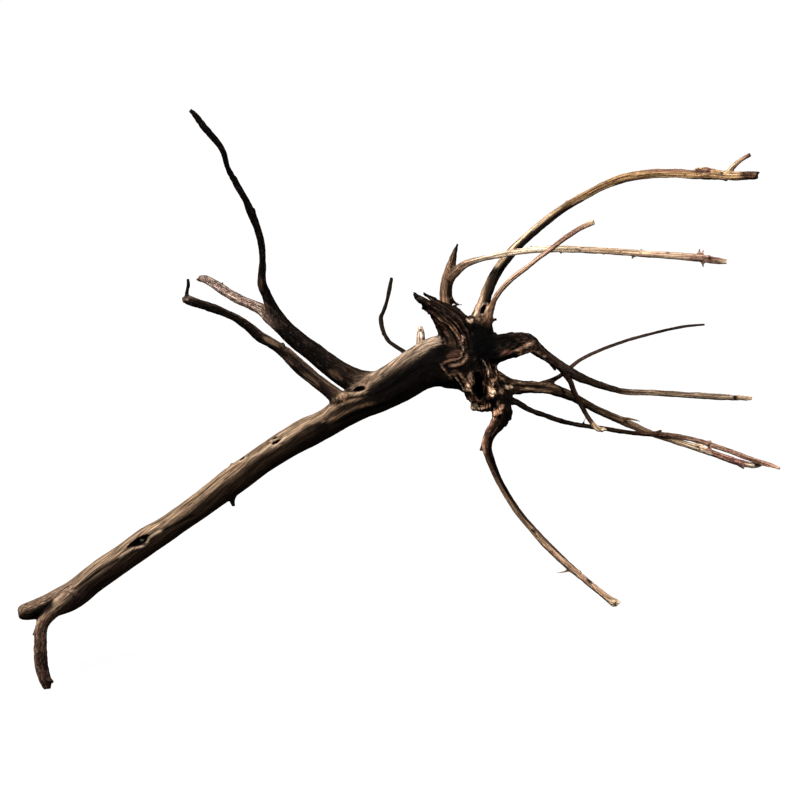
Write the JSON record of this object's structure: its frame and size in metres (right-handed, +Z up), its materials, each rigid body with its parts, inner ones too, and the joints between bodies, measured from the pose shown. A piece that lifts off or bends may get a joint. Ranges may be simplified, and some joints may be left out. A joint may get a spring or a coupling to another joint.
{
  "type": "piece of driftwood",
  "caption": "Branching driftwood root: a long trunk rises to a gnarled crown with slim curved roots spreading from it; it stands on its low tips as an aquarium or terrarium ornament.",
  "frame": {"origin": "middle of the footprint of the whole piece, on the surface it stands on", "axes": "+X from the trunk's blunt end toward the crown and the roots, +Z up, -Y toward the side that the picture shows"},
  "size_m": [0.6425, 0.3497, 0.4291],
  "materials": {
    "wood": "dry weathered wood, dark brown with paler tan roots"
  },
  "bodies": {
    "root": {"driftwood": "wood"}
  },
  "joints": []
}
